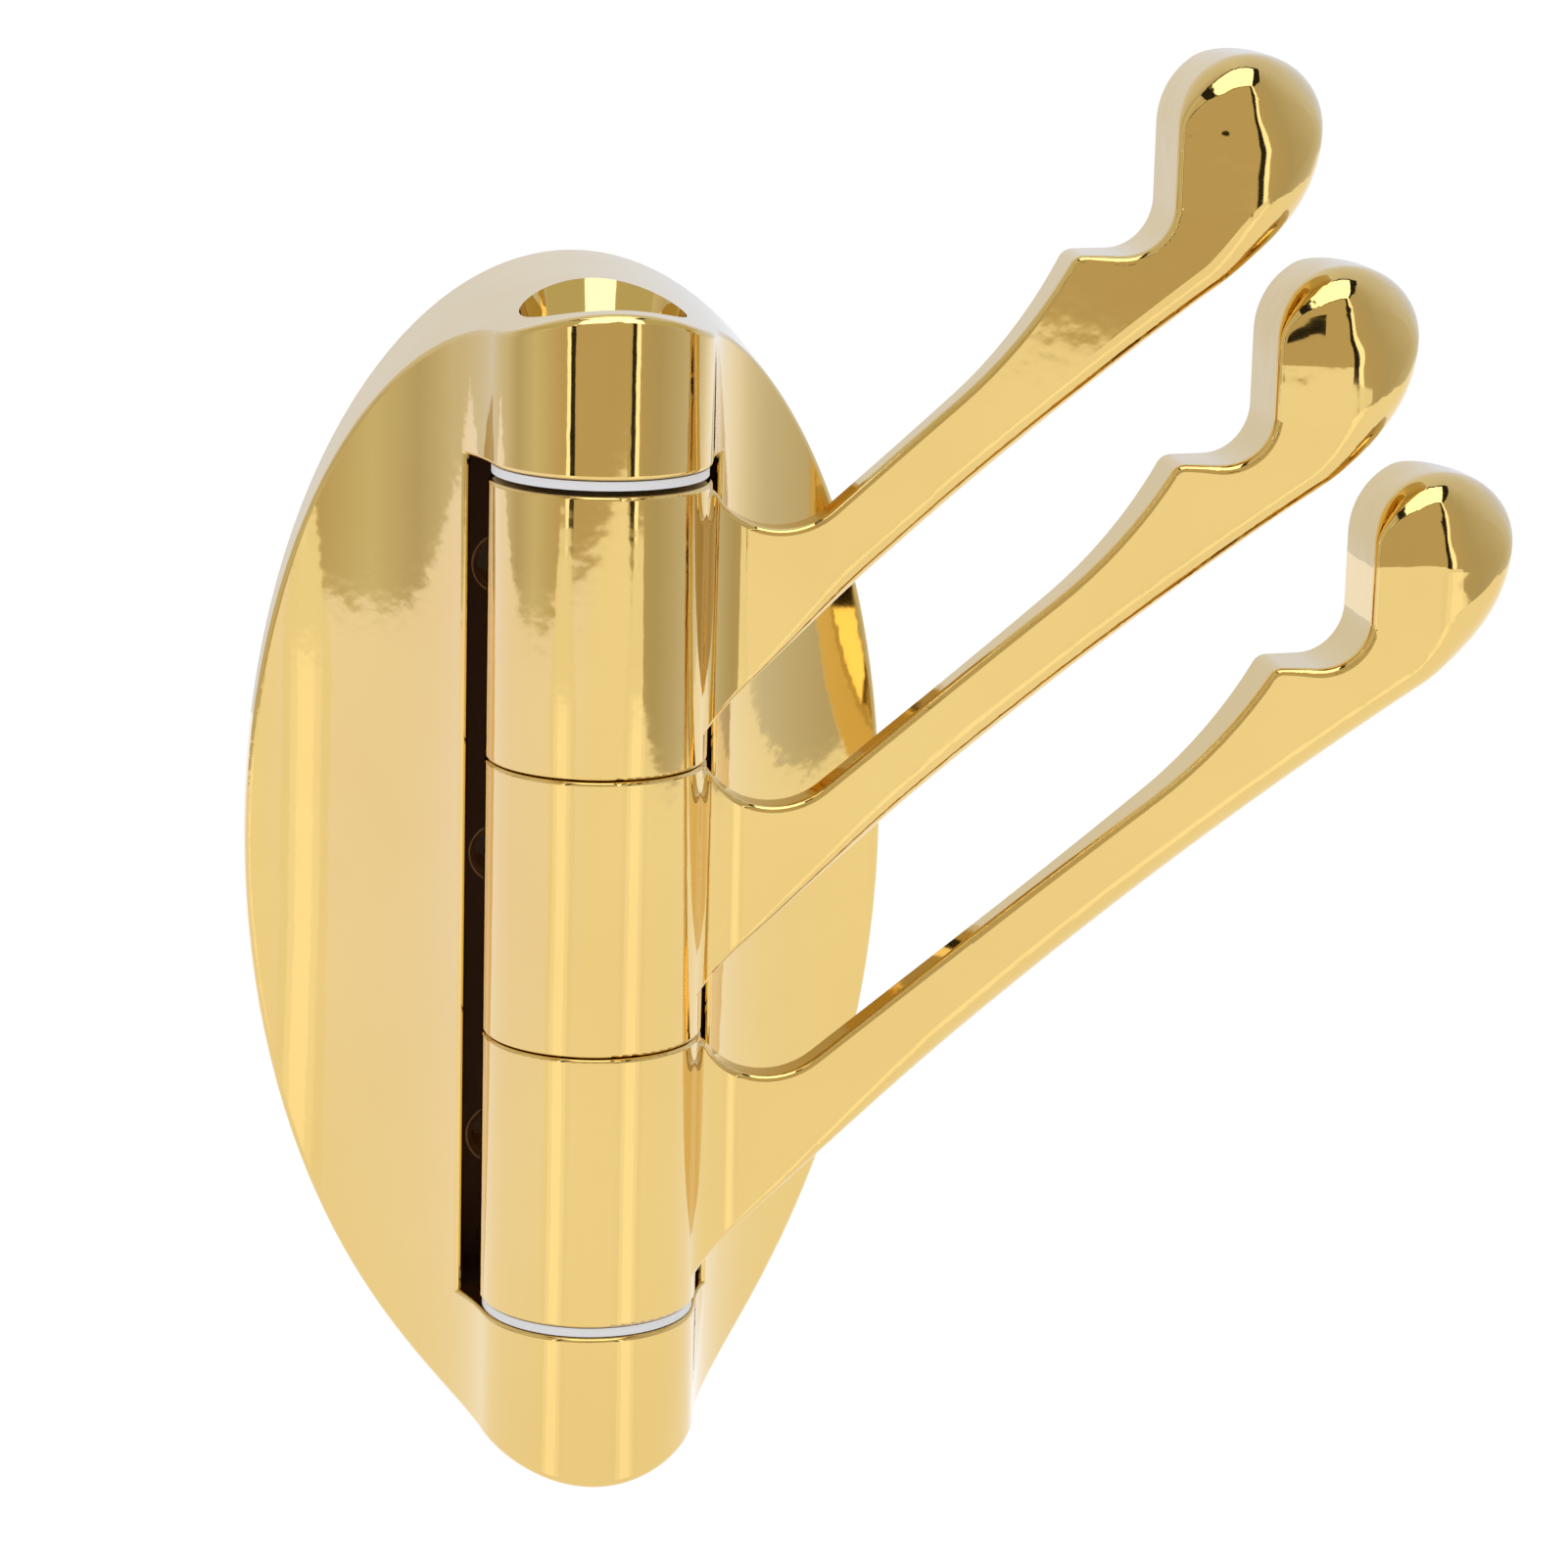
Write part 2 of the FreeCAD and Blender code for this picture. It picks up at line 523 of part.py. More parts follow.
def make_blade(order):
    """The sharp-edged blade of an arm: its side view crossed with its plan."""
    arm = ARMS[order]
    side_body = new_body(arm + "_side_blank")
    feature(side_body, "Pad", arm + "_side_pad", side_outline(side_body, order), SideType="Symmetric",
            Length="2 * sizes.barrel_radius + 2 * sizes.finger_half", Refine=False)
    plan_body = new_body(arm + "_plan_blank")
    half_plan = feature(plan_body, "Pad", arm + "_plan_pad", plan_outline(plan_body, order),
                        Length=f"{notch_floor(order)} + {FINGER_HEIGHT} + {OVERCUT}")
    both = plan_body.newObject("PartDesign::Mirrored", arm + "_plan_both")
    both.Originals = [half_plan]
    both.MirrorPlane = (half_plan.Profile[0], ["H_Axis"])
    plan_body.Tip = both
    blade = doc.addObject("Part::Common", arm + "_blade")
    blade.Base = side_body
    blade.Tool = plan_body
    blade.Refine = False
    doc.recompute()
    return blade


def edge_radius(point, under, order):
    """Rounding of the blade's outline at a point: crisp inside the hook, soft below it, full over the tip."""
    middle, waist = value(finger_middle(order)), value(stepped("waist", order))
    edge, inner, tip = size("edge_round"), size("inner_round"), size("tip_round")
    inwards = (middle - point.x) / size("tip_radius")
    if under and inwards > NEAR - 1:
        swell = (point.x - waist) / (middle - waist)
        return edge + max(0.0, min(swell, 1.0)) * (size("outer_round") - edge)
    if inwards < 1 + NEAR:
        return tip + max(0.0, inwards) * (inner - tip)
    return inner if point.x > value(stepped("reach", order)) - value(NOTCH_WIDTH) else edge


def round_blade(blade, order):
    """Rounds the blade's two outlines, with a radius that changes along them."""
    chosen = []
    for index, edge in enumerate(blade.Shape.Edges, start=1):
        middle = edge.valueAt((edge.FirstParameter + edge.LastParameter) / 2)
        faces = blade.Shape.ancestorsOfType(edge, Part.Face)
        normals = [face.normalAt(*face.Surface.parameter(middle)) for face in faces]
        crosswise = [normal for normal in normals if abs(normal.y) < NEAR]
        if edge.BoundBox.XMax > value(ROOT_X) + NEAR and len(crosswise) == 1:
            ends = [edge_radius(vertex.Point, crosswise[0].z < 0, order) for vertex in edge.Vertexes]
            chosen.append((index, ends[0], ends[-1]))
    rounded = doc.addObject("Part::Fillet", ARMS[order] + "_rounded")
    rounded.Base = blade
    rounded.Edges = chosen
    doc.recompute()
    return rounded


def make_knuckle(arm):
    """The knuckle of an arm: a bored barrel with softened ends."""
    body = new_body(arm + "_knuckle")
    rim, top = "sizes.barrel_radius", "sizes.knuckle_height"
    corners = [(BOLT_PASSAGE, "0"), (rim, "0"), (rim, top), (BOLT_PASSAGE, top)]
    section = polygon(body, arm + "_knuckle_section", "XZ_Plane", corners)
    barrel = turned(body, "Revolution", arm + "_barrel", section)

    def end_rim(edge):
        """The two outer rims of the barrel."""
        return edge.BoundBox.ZLength < NEAR and edge.BoundBox.XMax > size("barrel_radius") - NEAR

    round_edges(body, barrel, arm + "_barrel_round", end_rim, "sizes.knuckle_round")
    return body


def make_arm(order):
    """One swing arm: its rounded blade and its knuckle in one casting."""
    arm = ARMS[order]
    casting = doc.addObject("Part::Fuse", arm + "_casting")
    casting.Base = make_knuckle(arm)
    casting.Tool = round_blade(make_blade(order), order)
    casting.Refine = True
    bottom = f"{STACK_TOP} - {order + 1} * sizes.knuckle_height - {order} * sizes.face_clearance"
    return on_pivot(casting, arm + "_arm", bottom)


def make_washer(label, bottom):
    """A plain plastic washer on the pivot bolt."""
    body = new_body(label + "_body")
    hole, rim = "sizes.bolt_radius + sizes.washer_clearance", "sizes.barrel_radius - sizes.washer_inset"
    top = "sizes.washer_thickness"
    corners = [(hole, "0"), (rim, "0"), (rim, top), (hole, top)]
    turned(body, "Revolution", label + "_ring", polygon(body, label + "_section", "XZ_Plane", corners))
    return on_pivot(body, label, bottom)


def make_bolt():
    """The pivot bolt: a socket head on a plain shank, drawn from the underside of its head."""
    body = new_body("pivot_bolt_body")
    end, shank, head, top = f"-{BOLT_LENGTH}", "sizes.bolt_radius", "sizes.head_radius", "sizes.head_height"
    corners = [("0", end), (shank, end), (shank, "0"), (head, "0"), (head, top), ("0", top)]
    turned(body, "Revolution", "shank_and_head", polygon(body, "bolt_section", "XZ_Plane", corners))
    corner_radius = "sizes.hex_across / sqrt(3)"
    corners = [(f"{corner_radius} * cos({turn} deg)", f"{corner_radius} * sin({turn} deg)")
               for turn in range(0, 360, 60)]
    hexagon = polygon(body, "hex_outline", "XY_Plane", corners, "sizes.head_height")
    feature(body, "Pocket", "hex_socket", hexagon, Length="sizes.hex_depth")
    return on_pivot(body, "pivot_bolt", HEAD_SEAT)


parts = [make_base()]
parts += [make_arm(order) for order in range(len(ARMS))]
parts.append(make_washer("top_washer", f"{WINDOW_TOP} - sizes.face_clearance - sizes.washer_thickness"))
parts.append(make_washer("bottom_washer", f"sizes.face_clearance - {WINDOW_TOP}"))
parts.append(make_bolt())
doc.recompute()

for item in doc.Objects:
    if "Invalid" in item.State or "Error" in item.State:
        raise RuntimeError(f"{item.Label} failed: {item.State}")
for part in parts:
    if part.Shape.isNull() or not part.Shape.isValid() or len(part.Shape.Solids) != 1:
        raise RuntimeError(f"{part.Label} isn't one valid solid")

os.makedirs("parts", exist_ok=True)
for part in parts:
    part.Shape.exportStep(f"parts/{part.Label}.step")
    box = part.Shape.BoundBox
    extents = f"{box.XLength:.1f} x {box.YLength:.1f} x {box.ZLength:.1f} mm"
    print(f"{part.Label}: {part.Shape.Volume / 1000:.2f} cm3, {extents}")
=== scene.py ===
# %% [markdown]
# # A gold folding wall hook
# The hook is a mirror-bright object: an oval cast base, three swing arms on one bolt, two white washers.
# Its solids come ready-made from the CAD model, so this lesson is about finish and light. A mirror has no
# look of its own. What makes plated gold look like gold is its colour at each angle, the slight waviness
# of the plating, and what stands around it in the studio. We load the solids first and keep the size of
# their box to print beside the shown box at the end.

import math

import bpy
from mathutils import Matrix, Vector


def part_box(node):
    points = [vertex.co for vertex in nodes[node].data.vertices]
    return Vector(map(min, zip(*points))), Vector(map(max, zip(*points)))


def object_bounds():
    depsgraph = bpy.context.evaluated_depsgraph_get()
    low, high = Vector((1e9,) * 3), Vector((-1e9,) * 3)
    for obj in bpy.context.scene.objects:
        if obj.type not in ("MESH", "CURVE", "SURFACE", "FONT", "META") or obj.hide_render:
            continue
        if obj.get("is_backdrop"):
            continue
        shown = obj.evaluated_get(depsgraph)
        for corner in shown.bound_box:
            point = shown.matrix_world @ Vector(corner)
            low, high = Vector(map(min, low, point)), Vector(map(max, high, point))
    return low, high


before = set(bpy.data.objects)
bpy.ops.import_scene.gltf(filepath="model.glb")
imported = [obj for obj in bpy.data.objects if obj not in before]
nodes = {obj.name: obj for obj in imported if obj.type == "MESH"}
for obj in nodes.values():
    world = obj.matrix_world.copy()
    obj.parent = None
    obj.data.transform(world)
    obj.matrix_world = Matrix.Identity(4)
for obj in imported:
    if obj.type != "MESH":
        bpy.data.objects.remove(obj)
scene = bpy.context.scene
cad_box = [list(corner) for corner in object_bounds()]


def in_mm(numbers):
    """Metres as rounded millimetres, for printing."""
    return [round(1000 * number, 1) for number in numbers]


print("nodes:", ", ".join(sorted(nodes)))
print("box in mm:", [in_mm(corner) for corner in cad_box])

# %% [markdown]
# ## The camera
# The photograph was taken from a little above and a little to the left, with a long lens. We could drag a
# camera until it looks right, but a view that is given by a place, a heading, a pitch and a roll can be
# written down and checked. Blender's camera looks along its own -Z with +Y up, so its matrix has the
# picture's right, the picture's up and the way back as columns.

# %% Place the camera
CAMERA_PLACE = Vector((-0.0556, -0.4366, 0.1110))
HEADING, PITCH, ROLL = math.radians(9.98), math.radians(13.54), math.radians(1.5)
LENS_MM, SENSOR_MM, NEAREST_SEEN = 109.28, 36.0, 0.01

ahead = Vector((math.sin(HEADING) * math.cos(PITCH), math.cos(HEADING) * math.cos(PITCH),
                -math.sin(PITCH)))
level_right = Vector((math.cos(HEADING), -math.sin(HEADING), 0.0))
unrolled_up = level_right.cross(ahead)
picture_right = math.cos(ROLL) * level_right + math.sin(ROLL) * unrolled_up
picture_up = math.cos(ROLL) * unrolled_up - math.sin(ROLL) * level_right

camera = bpy.data.objects.new("camera", bpy.data.cameras.new("camera"))
scene.collection.objects.link(camera)
camera_turn = Matrix((picture_right, picture_up, -ahead)).transposed().to_4x4()
camera.matrix_world = Matrix.Translation(CAMERA_PLACE) @ camera_turn
camera.data.lens = LENS_MM
camera.data.sensor_width = SENSOR_MM
camera.data.clip_start = NEAREST_SEEN
scene.camera = camera
print("camera at", in_mm(CAMERA_PLACE), "mm with a lens of", LENS_MM, "mm")

# %% [markdown]
# ## Helpers for finishes
# Every finish below is a small graph of nodes, and a few helpers keep that readable. One adds a node and
# sets its plain values, one feeds an input from a socket or a constant. One adds a noise whose coordinates
# are those of the solid itself, in metres, so that a pattern keeps its true size and stays on the piece
# when the arm swings. The others blend numbers and colours by such a pattern, start a finish, and put it
# on the solids that wear it.

# %% Node helpers
def add_node(tree, kind, **values):
    """Adds a node; values are set on its properties, or else on the inputs of that name."""
    node = tree.nodes.new(kind)
    for name, setting in values.items():
        if hasattr(node, name):
            setattr(node, name, setting)
        else:
            node.inputs[name.replace("_", " ")].default_value = setting
    return node


def feed(tree, source, target):
    """Links a socket to an input, or sets the input to a number or to a red, green and blue."""
    if isinstance(source, bpy.types.NodeSocket):
        tree.links.new(source, target)
    elif isinstance(source, tuple):
        target.default_value = (*source, 1.0)
    else:
        target.default_value = source


def solid_noise(tree, per_metre, detail=2.0, fineness=(1.0, 1.0, 1.0)):
    """A noise in the solid's own coordinates, finer along some axes; returns its value from 0 to 1."""
    place = add_node(tree, "ShaderNodeTexCoord")
    mapping = add_node(tree, "ShaderNodeMapping", Scale=fineness)
    noise = add_node(tree, "ShaderNodeTexNoise", Scale=per_metre, Detail=detail)
    feed(tree, place.outputs["Object"], mapping.inputs["Vector"])
    feed(tree, mapping.outputs["Vector"], noise.inputs["Vector"])
    return noise.outputs["Fac"]


def blend_by(tree, amount, low, high):
    """A number that runs from low to high as amount runs from 0 to 1."""
    ramp = add_node(tree, "ShaderNodeMapRange")
    for name, source in (("Value", amount), ("To Min", low), ("To Max", high)):
        feed(tree, source, ramp.inputs[name])
    return ramp.outputs["Result"]


def colour_by(tree, amount, low, high):
    """A colour that runs from low to high as amount runs from 0 to 1."""
    mix = add_node(tree, "ShaderNodeMix", data_type="RGBA")
    factor, first_colour, second_colour = mix.inputs[0], mix.inputs[6], mix.inputs[7]
    for source, target in ((amount, factor), (low, first_colour), (high, second_colour)):
        feed(tree, source, target)
    return mix.outputs[2]


def new_finish(name):
    """An empty material; returns it with its tree and its main shader."""
    material = bpy.data.materials.new(name)
    material.use_nodes = True
    return material, material.node_tree, material.node_tree.nodes["Principled BSDF"]


def dress(material, *names):
    """Puts a finish on solids, in place of the plain one they came with."""
    for name in names:
        nodes[name].data.materials.clear()
        nodes[name].data.materials.append(material)
    print(material.name, "with", len(material.node_tree.nodes), "nodes on", ", ".join(names))


print("solids to dress:", len(nodes))

# %% [markdown]
# ## White nylon
# The two washers are white nylon, turned or punched: satin, faintly bluish, with fine rings from the tool.
# One flat white would look like paper. A noise that is four times finer along the axis gives the rings,
# and a little light goes under the surface, as it does in nylon.

# %% Make the white nylon
NYLON_SHADED, NYLON_WHITE = (0.88, 0.885, 0.93), (0.94, 0.945, 0.98)
NYLON_RINGS_PER_METRE, NYLON_RING_FINENESS, NYLON_RING_DETAIL = 900.0, (1.0, 1.0, 4.0), 3.0
NYLON_GRAIN_PER_METRE, NYLON_SMOOTH, NYLON_ROUGH = 1500.0, 0.38, 0.52
NYLON_UNDER_SURFACE, NYLON_LIGHT_DEPTH = 0.15, 0.001

nylon, tree, shader = new_finish("white_nylon")
rings = solid_noise(tree, NYLON_RINGS_PER_METRE, NYLON_RING_DETAIL, NYLON_RING_FINENESS)
grain = solid_noise(tree, NYLON_GRAIN_PER_METRE)
feed(tree, colour_by(tree, rings, NYLON_SHADED, NYLON_WHITE), shader.inputs["Base Color"])
feed(tree, blend_by(tree, grain, NYLON_SMOOTH, NYLON_ROUGH), shader.inputs["Roughness"])
shader.inputs["Subsurface Weight"].default_value = NYLON_UNDER_SURFACE
shader.inputs["Subsurface Radius"].default_value = [NYLON_LIGHT_DEPTH] * 3
dress(nylon, "top_washer", "bottom_washer")

# %% [markdown]
# ## Bolt steel
# The bolt sits deep in the top lug and shows little more than its head. Zinc-plated steel is a grey metal,
# cloudy from the bath. Its roughness changes in streaks along the bar, so that noise is ten times longer
# that way.

# %% Make the bolt steel
STEEL_DARK, STEEL_PALE = (0.40, 0.40, 0.41), (0.56, 0.55, 0.53)
STEEL_CLOUDS_PER_METRE, STEEL_CLOUD_DETAIL = 600.0, 3.0
STEEL_STREAKS_PER_METRE, STEEL_STREAK_DETAIL, STEEL_STREAK_FINENESS = 2200.0, 2.0, (1.0, 1.0, 0.1)
STEEL_SMOOTH, STEEL_ROUGH = 0.24, 0.42

steel, tree, shader = new_finish("bolt_steel")
clouds = solid_noise(tree, STEEL_CLOUDS_PER_METRE, STEEL_CLOUD_DETAIL)
streaks = solid_noise(tree, STEEL_STREAKS_PER_METRE, STEEL_STREAK_DETAIL, STEEL_STREAK_FINENESS)
feed(tree, colour_by(tree, clouds, STEEL_DARK, STEEL_PALE), shader.inputs["Base Color"])
feed(tree, blend_by(tree, streaks, STEEL_SMOOTH, STEEL_ROUGH), shader.inputs["Roughness"])
shader.inputs["Metallic"].default_value = 1.0
dress(steel, "pivot_bolt")

# %% [markdown]
# ## Gold plating
# The castings are zinc, polished and plated, so the gold is a metal shader with no diffuse part. Its
# colour is the share of white light that gold gives back, a little deeper in some places than in others
# because plating is never even. A perfect mirror would look like computer graphics: real plating follows
# the polishing, and its reflections waver. Two noises bend the normal, as if the surface rose and fell by
# some hundredths of a millimetre: one is as wide as a thumb print, the other is finer. A third noise
# carries the faint haze of handling in the roughness. A thin coat of clear lacquer, which lies on the same
# waves, makes the gold paler at glancing angles.

# %% Make the gold
GOLD_DEEP, GOLD_PALE = (0.74, 0.510, 0.155), (0.80, 0.585, 0.198)
GOLD_CLOUDS_PER_METRE, GOLD_CLOUD_DETAIL = 45.0, 3.0
HAZE_PER_METRE, HAZE_DETAIL, GOLD_CLEAR, GOLD_HAZY = 120.0, 4.0, 0.035, 0.075
SLOW_PER_METRE, SLOW_DETAIL, SLOW_FINENESS = 90.0, 0.5, (1.0, 1.0, 0.5)
SLOW_HEIGHT, SLOW_SHARE = 0.0004, 0.30
FINE_PER_METRE, FINE_DETAIL, FINE_HEIGHT, FINE_SHARE = 560.0, 1.5, 0.00008, 0.11
LACQUER_SHARE, LACQUER_ROUGHNESS = 0.8, 0.03


def wave(tree, height, metres=1.0, share=1.0, below=None):
    """Bends the surface by a share of height times metres; returns the normal, laid on one below it."""
    bump = add_node(tree, "ShaderNodeBump", Strength=share, Distance=metres)
    feed(tree, height, bump.inputs["Height"])
    if below:
        feed(tree, below, bump.inputs["Normal"])
    return bump.outputs["Normal"]


def gold_shader(tree, shader, form):
    """Fills a shader with plated gold on a form; returns its colour and haze, which may be covered."""
    clouds = solid_noise(tree, GOLD_CLOUDS_PER_METRE, GOLD_CLOUD_DETAIL)
    handling = solid_noise(tree, HAZE_PER_METRE, HAZE_DETAIL)
    slow_noise = solid_noise(tree, SLOW_PER_METRE, SLOW_DETAIL, SLOW_FINENESS)
    fine_noise = solid_noise(tree, FINE_PER_METRE, FINE_DETAIL)
    slow = wave(tree, slow_noise, SLOW_HEIGHT, SLOW_SHARE, form)
    fine = wave(tree, fine_noise, FINE_HEIGHT, FINE_SHARE, slow)
    for layer in ("Normal", "Coat Normal"):
        feed(tree, fine, shader.inputs[layer])
    shader.inputs["Metallic"].default_value = 1.0
    shader.inputs["Coat Weight"].default_value = LACQUER_SHARE
    shader.inputs["Coat Roughness"].default_value = LACQUER_ROUGHNESS
    colour = colour_by(tree, clouds, GOLD_DEEP, GOLD_PALE)
    return colour, blend_by(tree, handling, GOLD_CLEAR, GOLD_HAZY)


print("gold runs from", GOLD_DEEP, "to", GOLD_PALE)

# %% [markdown]
# ## Polish on the arms
# The wheel takes more off the end of a finger than off its middle, so its broad side falls away towards
# the tip. That is about a millimetre, too little to see in the outline, but a mirror doubles every angle:
# it decides where the room is seen. It could be cut in the CAD model. Here a height bends the normal
# instead: it falls off towards the tip, faster away from the middle of the finger, and leans a little
# along the arm. The tip is also brushed a little unevenly. The knuckle keeps its true barrel.

# %% Gold the arms
DOME_FALL, DOME_FROM, DOME_TO = 0.00104, 0.00872, 0.00032
DOME_INSET, DOME_ROUND = 0.0098, 30000.0
BRUSH_PER_METRE, BRUSH_DETAIL, BRUSH_HEIGHT, BRUSH_FADE = 260.0, 1.0, 0.00009, 0.005
ARM_LEAN = math.tan(math.radians(1.7))
LEAN_FROM, LEAN_FULL = 0.014, 0.030


def solid_place(tree):
    """The X, Y and Z of a point of the solid, in the solid's own coordinates."""
    place = add_node(tree, "ShaderNodeTexCoord")
    split = add_node(tree, "ShaderNodeSeparateXYZ")
    feed(tree, place.outputs["Object"], split.inputs["Vector"])
    return split.outputs


def along(tree, axis, start, end, reach=1.0, ease="LINEAR"):
    """Runs from 0 to reach while a coordinate of the solid runs from start to end, and stays there."""
    ramp = add_node(tree, "ShaderNodeMapRange", interpolation_type=ease, From_Min=start, From_Max=end,
                    To_Max=reach)
    feed(tree, solid_place(tree)[axis], ramp.inputs["Value"])
    return ramp.outputs["Result"]


def combine(tree, operation, first, *others):
    """Works through sockets and numbers from left to right with one operation."""
    result = first
    for other in others:
        node = add_node(tree, "ShaderNodeMath", operation=operation)
        feed(tree, result, node.inputs[0])
        feed(tree, other, node.inputs[1])
        result = node.outputs[0]
    return result


def polished_form(tree, arm):
    """The normal of an arm whose finger falls off to a brushed tip and whose blade leans."""
    low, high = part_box(arm)
    dome_start = high.z - DOME_FROM
    fall = along(tree, "Z", dome_start, high.z - DOME_TO, -DOME_FALL, "SMOOTHSTEP")
    aside = along(tree, "X", high.x - 2 * DOME_INSET, high.x, 2 * DOME_INSET)
    off_middle = combine(tree, "SUBTRACT", aside, DOME_INSET)
    steeper = combine(tree, "MULTIPLY", off_middle, off_middle, DOME_ROUND)
    dome = combine(tree, "MULTIPLY", fall, combine(tree, "ADD", steeper, 1.0))
    rise = along(tree, "Z", low.z, high.z, ARM_LEAN * (high.z - low.z))
    lean = combine(tree, "MULTIPLY", rise, along(tree, "X", LEAN_FROM, LEAN_FULL))
    at_tip = along(tree, "Z", dome_start - BRUSH_FADE, dome_start, BRUSH_HEIGHT)
    brushed = combine(tree, "MULTIPLY", solid_noise(tree, BRUSH_PER_METRE, BRUSH_DETAIL), at_tip)
    return wave(tree, combine(tree, "ADD", dome, lean, brushed))


for arm in ("upper_arm", "middle_arm", "lower_arm"):
    arm_gold, tree, shader = new_finish(arm + "_gold")
    colour, haze = gold_shader(tree, shader, polished_form(tree, arm))
    feed(tree, colour, shader.inputs["Base Color"])
    feed(tree, haze, shader.inputs["Roughness"])
    dress(arm_gold, arm)

# %% [markdown]
# ## The base: bright outside, raw inside, with painted shade in the window
# Plating needs polishing, and nobody polishes the inside of the window behind the knuckles. It stays dull,
# unlacquered casting, and its near-black brown is painted shade for the deep window, which shows as a
# black slot beside the barrel. It is the same solid, so the finish has
# to change along it. A box test on the solid's own coordinates does that: it is 1 inside the window and 0
# outside, and it mixes colour, roughness and lacquer. The screw holes were drilled later, so their rims
# are bare metal: a ring test finds them. Near its left rim the flank is polished a little flatter, and a
# height says so to the normal.

# %% Make the finish of the base
# The raw casting's dark brown is painted shade for the deep window; its high roughness is the real dull
# casting.
RAW_CASTING_PAINTED_SHADE, RAW_ROUGHNESS, BARE_METAL = (0.16, 0.085, 0.055), 0.65, (0.75, 0.48, 0.26)
WINDOW_HALF_WIDTH, WINDOW_HALF_HEIGHT = 0.01125, 0.0396
WINDOW_FRONT, WINDOW_BACK = -0.0165, -0.0006
SCREW_X, SCREW_SPACING, BARE_FROM, BARE_TO = -0.007, 0.0275, 0.0021, 0.0029
FLATTER_FROM, FLATTER_TO, FLATTER_POWER, FLATTER_BEND = -0.0135, -0.0305, 3.0, 270.0


def between(tree, value, least, most):
    """1 where a value lies between two numbers and 0 elsewhere."""
    return combine(tree, "MULTIPLY", combine(tree, "GREATER_THAN", value, least),
                   combine(tree, "LESS_THAN", value, most))


def inside_window(tree):
    """1 inside the base's window and 0 outside it."""
    place = solid_place(tree)
    return combine(tree, "MULTIPLY",
                   between(tree, place["X"], -WINDOW_HALF_WIDTH, WINDOW_HALF_WIDTH),
                   between(tree, place["Y"], WINDOW_FRONT, WINDOW_BACK),
                   between(tree, place["Z"], -WINDOW_HALF_HEIGHT, WINDOW_HALF_HEIGHT))


def on_hole_rims(tree):
    """1 on the rims of the screw holes, which stand in a row, and 0 elsewhere."""
    place = solid_place(tree)
    aside = combine(tree, "SUBTRACT", place["X"], SCREW_X)
    above = combine(tree, "PINGPONG", place["Z"], SCREW_SPACING / 2)
    squares = combine(tree, "ADD", combine(tree, "MULTIPLY", aside, aside),
                      combine(tree, "MULTIPLY", above, above))
    return between(tree, combine(tree, "POWER", squares, 0.5), BARE_FROM, BARE_TO)


base_finish, tree, shader = new_finish("gold_and_shaded_raw_casting")
past_start = along(tree, "X", FLATTER_FROM, FLATTER_TO, FLATTER_FROM - FLATTER_TO)
flatter = combine(tree, "MULTIPLY", combine(tree, "POWER", past_start, FLATTER_POWER), FLATTER_BEND)
colour, haze = gold_shader(tree, shader, wave(tree, flatter))
# The window test carries painted shade into the colour, and the real dull, unlacquered casting into
# roughness and lacquer.
raw_and_shaded = inside_window(tree)
shaded_casting = colour_by(tree, on_hole_rims(tree), RAW_CASTING_PAINTED_SHADE, BARE_METAL)
# Painted shade: inside the window the gold gives way to the dark casting colour.
feed(tree, colour_by(tree, raw_and_shaded, colour, shaded_casting), shader.inputs["Base Color"])
feed(tree, blend_by(tree, raw_and_shaded, haze, RAW_ROUGHNESS), shader.inputs["Roughness"])
feed(tree, blend_by(tree, raw_and_shaded, LACQUER_SHARE, 0.0), shader.inputs["Coat Weight"])
dress(base_finish, "base")

# %% [markdown]
# ## Floor and daylight
# The hook hangs on a wall in use, so it keeps clear of the floor, which lies a few fingers' breadths lower
# and catches its soft shadow. The background of the photograph is white paper. The world is white, and the
# floor is pale paper that also shines a little for the eye and for mirrors, so that it looks white without
# more light on the hook. On the left, where daylight came in, that shine is a little bluer.

# %% Make the floor and the world
FLOOR_LEVEL, FLOOR_HALF = -0.100, 12.0
PAPER_WHITE, PAPER_ROUGHNESS, PAPER_SHINE = (0.86, 0.86, 0.86), 0.9, 0.40
PLAIN_WHITE, DAYLIGHT, DAYLIGHT_FROM, DAYLIGHT_FULL = (1.0, 1.0, 1.0), (0.98, 1.0, 1.65), -0.08, -0.32
WORLD_AS_LIGHT, WORLD_AS_SEEN = 0.70, 1.0


def flat_piece(name, corners, material):
    """A flat stage piece through corners in order."""
    mesh = bpy.data.meshes.new(name)
    mesh.from_pydata([tuple(corner) for corner in corners], [], [tuple(range(len(corners)))])
    mesh.materials.append(material)
    piece = bpy.data.objects.new(name, mesh)
    scene.collection.objects.link(piece)
    piece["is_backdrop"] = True
    return piece


def level_corners(middle, half):
    """The corners of a level rectangle round a middle."""
    return [middle + Vector((across * half[0], away * half[1], 0.0))
            for across, away in ((-1, -1), (1, -1), (1, 1), (-1, 1))]


def seen_by_eye_and_mirrors(tree):
    """1 for camera, glossy and transmission rays, 0 for the rays that light the scene."""
    path = add_node(tree, "ShaderNodeLightPath")
    kinds = ("Is Camera Ray", "Is Glossy Ray", "Is Transmission Ray")
    return combine(tree, "MAXIMUM", *[path.outputs[kind] for kind in kinds])


